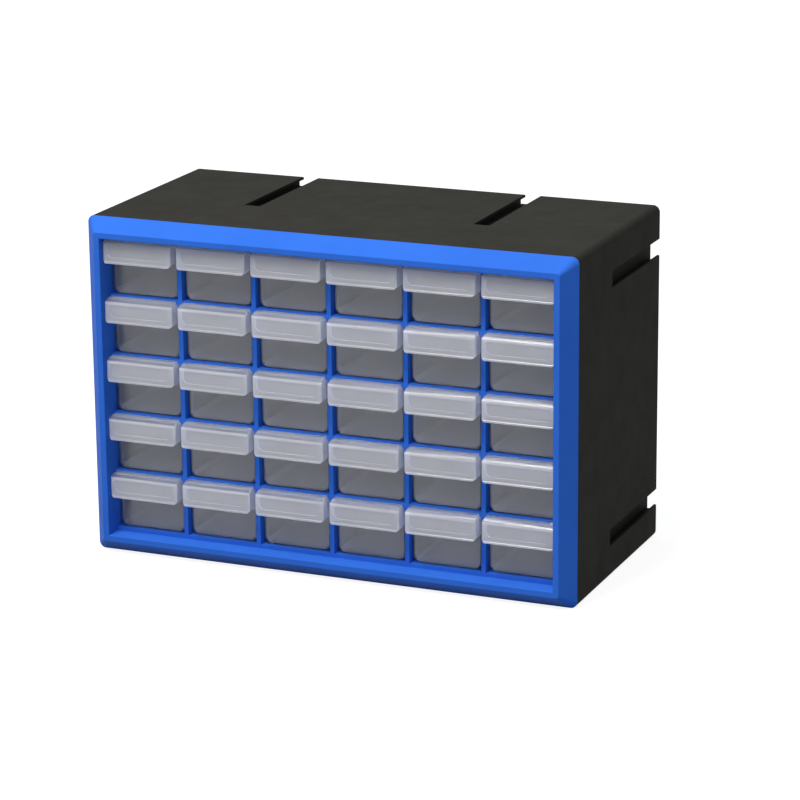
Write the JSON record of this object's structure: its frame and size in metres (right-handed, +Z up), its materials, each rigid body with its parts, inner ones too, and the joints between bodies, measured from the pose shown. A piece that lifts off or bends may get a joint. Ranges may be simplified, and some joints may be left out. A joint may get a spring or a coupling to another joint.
{
  "type": "modular storage box",
  "caption": "Parts cabinet with a bevelled front frame, a grid of see-through drawers with hood pulls on inner shelves, and T slots for joining it to the next cabinet.",
  "frame": {"origin": "middle of the footprint, on the surface that the cabinet stands on", "axes": "+Z up, the drawers open towards -Y, +X to the right seen from the front"},
  "size_m": [0.365, 0.18, 0.245],
  "materials": {
    "casing_black": "moulded, satin",
    "frame_blue": "moulded, semi-gloss",
    "shelf_black": "moulded, satin",
    "drawer_milky": "moulded, milky see-through"
  },
  "bodies": {
    "cabinet": {"casing_shell": "casing_black", "front_frame": "frame_blue", "shelf_1": "shelf_black", "shelf_2": "shelf_black", "shelf_3": "shelf_black", "shelf_4": "shelf_black", "shelf_5": "shelf_black"},
    "drawer_r1_c1": {"drawer_r1_c1": "drawer_milky"},
    "drawer_r1_c2": {"drawer_r1_c2": "drawer_milky"},
    "drawer_r1_c3": {"drawer_r1_c3": "drawer_milky"},
    "drawer_r1_c4": {"drawer_r1_c4": "drawer_milky"},
    "drawer_r1_c5": {"drawer_r1_c5": "drawer_milky"},
    "drawer_r1_c6": {"drawer_r1_c6": "drawer_milky"},
    "drawer_r2_c1": {"drawer_r2_c1": "drawer_milky"},
    "drawer_r2_c2": {"drawer_r2_c2": "drawer_milky"},
    "drawer_r2_c3": {"drawer_r2_c3": "drawer_milky"},
    "drawer_r2_c4": {"drawer_r2_c4": "drawer_milky"},
    "drawer_r2_c5": {"drawer_r2_c5": "drawer_milky"},
    "drawer_r2_c6": {"drawer_r2_c6": "drawer_milky"},
    "drawer_r3_c1": {"drawer_r3_c1": "drawer_milky"},
    "drawer_r3_c2": {"drawer_r3_c2": "drawer_milky"},
    "drawer_r3_c3": {"drawer_r3_c3": "drawer_milky"},
    "drawer_r3_c4": {"drawer_r3_c4": "drawer_milky"},
    "drawer_r3_c5": {"drawer_r3_c5": "drawer_milky"},
    "drawer_r3_c6": {"drawer_r3_c6": "drawer_milky"},
    "drawer_r4_c1": {"drawer_r4_c1": "drawer_milky"},
    "drawer_r4_c2": {"drawer_r4_c2": "drawer_milky"},
    "drawer_r4_c3": {"drawer_r4_c3": "drawer_milky"},
    "drawer_r4_c4": {"drawer_r4_c4": "drawer_milky"},
    "drawer_r4_c5": {"drawer_r4_c5": "drawer_milky"},
    "drawer_r4_c6": {"drawer_r4_c6": "drawer_milky"},
    "drawer_r5_c1": {"drawer_r5_c1": "drawer_milky"},
    "drawer_r5_c2": {"drawer_r5_c2": "drawer_milky"},
    "drawer_r5_c3": {"drawer_r5_c3": "drawer_milky"},
    "drawer_r5_c4": {"drawer_r5_c4": "drawer_milky"},
    "drawer_r5_c5": {"drawer_r5_c5": "drawer_milky"},
    "drawer_r5_c6": {"drawer_r5_c6": "drawer_milky"}
  },
  "joints": [
    {"name": "drawer_r1_c1_slide", "type": "slide", "parent": "cabinet", "child": "drawer_r1_c1", "axis": [0, -1, 0], "range_m": [0, 0.1298]},
    {"name": "drawer_r1_c2_slide", "type": "slide", "parent": "cabinet", "child": "drawer_r1_c2", "axis": [0, -1, 0], "range_m": [0, 0.1298]},
    {"name": "drawer_r1_c3_slide", "type": "slide", "parent": "cabinet", "child": "drawer_r1_c3", "axis": [0, -1, 0], "range_m": [0, 0.1298]},
    {"name": "drawer_r1_c4_slide", "type": "slide", "parent": "cabinet", "child": "drawer_r1_c4", "axis": [0, -1, 0], "range_m": [0, 0.1298]},
    {"name": "drawer_r1_c5_slide", "type": "slide", "parent": "cabinet", "child": "drawer_r1_c5", "axis": [0, -1, 0], "range_m": [0, 0.1298]},
    {"name": "drawer_r1_c6_slide", "type": "slide", "parent": "cabinet", "child": "drawer_r1_c6", "axis": [0, -1, 0], "range_m": [0, 0.1298]},
    {"name": "drawer_r2_c1_slide", "type": "slide", "parent": "cabinet", "child": "drawer_r2_c1", "axis": [0, -1, 0], "range_m": [0, 0.1298]},
    {"name": "drawer_r2_c2_slide", "type": "slide", "parent": "cabinet", "child": "drawer_r2_c2", "axis": [0, -1, 0], "range_m": [0, 0.1298]},
    {"name": "drawer_r2_c3_slide", "type": "slide", "parent": "cabinet", "child": "drawer_r2_c3", "axis": [0, -1, 0], "range_m": [0, 0.1298]},
    {"name": "drawer_r2_c4_slide", "type": "slide", "parent": "cabinet", "child": "drawer_r2_c4", "axis": [0, -1, 0], "range_m": [0, 0.1298]},
    {"name": "drawer_r2_c5_slide", "type": "slide", "parent": "cabinet", "child": "drawer_r2_c5", "axis": [0, -1, 0], "range_m": [0, 0.1298]},
    {"name": "drawer_r2_c6_slide", "type": "slide", "parent": "cabinet", "child": "drawer_r2_c6", "axis": [0, -1, 0], "range_m": [0, 0.1298]},
    {"name": "drawer_r3_c1_slide", "type": "slide", "parent": "cabinet", "child": "drawer_r3_c1", "axis": [0, -1, 0], "range_m": [0, 0.1298]},
    {"name": "drawer_r3_c2_slide", "type": "slide", "parent": "cabinet", "child": "drawer_r3_c2", "axis": [0, -1, 0], "range_m": [0, 0.1298]},
    {"name": "drawer_r3_c3_slide", "type": "slide", "parent": "cabinet", "child": "drawer_r3_c3", "axis": [0, -1, 0], "range_m": [0, 0.1298]},
    {"name": "drawer_r3_c4_slide", "type": "slide", "parent": "cabinet", "child": "drawer_r3_c4", "axis": [0, -1, 0], "range_m": [0, 0.1298]},
    {"name": "drawer_r3_c5_slide", "type": "slide", "parent": "cabinet", "child": "drawer_r3_c5", "axis": [0, -1, 0], "range_m": [0, 0.1298]},
    {"name": "drawer_r3_c6_slide", "type": "slide", "parent": "cabinet", "child": "drawer_r3_c6", "axis": [0, -1, 0], "range_m": [0, 0.1298]},
    {"name": "drawer_r4_c1_slide", "type": "slide", "parent": "cabinet", "child": "drawer_r4_c1", "axis": [0, -1, 0], "range_m": [0, 0.1298]},
    {"name": "drawer_r4_c2_slide", "type": "slide", "parent": "cabinet", "child": "drawer_r4_c2", "axis": [0, -1, 0], "range_m": [0, 0.1298]},
    {"name": "drawer_r4_c3_slide", "type": "slide", "parent": "cabinet", "child": "drawer_r4_c3", "axis": [0, -1, 0], "range_m": [0, 0.1298]},
    {"name": "drawer_r4_c4_slide", "type": "slide", "parent": "cabinet", "child": "drawer_r4_c4", "axis": [0, -1, 0], "range_m": [0, 0.1298]},
    {"name": "drawer_r4_c5_slide", "type": "slide", "parent": "cabinet", "child": "drawer_r4_c5", "axis": [0, -1, 0], "range_m": [0, 0.1298]},
    {"name": "drawer_r4_c6_slide", "type": "slide", "parent": "cabinet", "child": "drawer_r4_c6", "axis": [0, -1, 0], "range_m": [0, 0.1298]},
    {"name": "drawer_r5_c1_slide", "type": "slide", "parent": "cabinet", "child": "drawer_r5_c1", "axis": [0, -1, 0], "range_m": [0, 0.1298]},
    {"name": "drawer_r5_c2_slide", "type": "slide", "parent": "cabinet", "child": "drawer_r5_c2", "axis": [0, -1, 0], "range_m": [0, 0.1298]},
    {"name": "drawer_r5_c3_slide", "type": "slide", "parent": "cabinet", "child": "drawer_r5_c3", "axis": [0, -1, 0], "range_m": [0, 0.1298]},
    {"name": "drawer_r5_c4_slide", "type": "slide", "parent": "cabinet", "child": "drawer_r5_c4", "axis": [0, -1, 0], "range_m": [0, 0.1298]},
    {"name": "drawer_r5_c5_slide", "type": "slide", "parent": "cabinet", "child": "drawer_r5_c5", "axis": [0, -1, 0], "range_m": [0, 0.1298]},
    {"name": "drawer_r5_c6_slide", "type": "slide", "parent": "cabinet", "child": "drawer_r5_c6", "axis": [0, -1, 0], "range_m": [0, 0.1298]}
  ]
}
